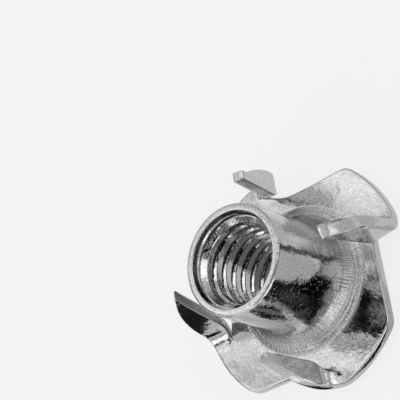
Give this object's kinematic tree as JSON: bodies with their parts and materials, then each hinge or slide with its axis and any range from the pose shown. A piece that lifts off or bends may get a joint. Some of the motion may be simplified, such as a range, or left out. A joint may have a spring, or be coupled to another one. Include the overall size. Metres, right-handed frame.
{
  "type": "tee nut",
  "caption": "Pressed sheet-steel tee nut: round flange with rolled-up prongs that bite into wood, and a drawn barrel with a threaded hole.",
  "frame": {"origin": "on the thread's axis, in the plane of the rolled rim that the nut stands on", "axes": "+Z along the thread's axis from the flange to the barrel's open end; +X from the axis to the corner of one petal"},
  "size_m": [0.0254, 0.0254, 0.0138],
  "materials": {
    "zinc": "bright zinc plating over pressed steel, faintly brushed"
  },
  "bodies": {
    "root": {"tee_nut": "zinc"}
  },
  "joints": []
}
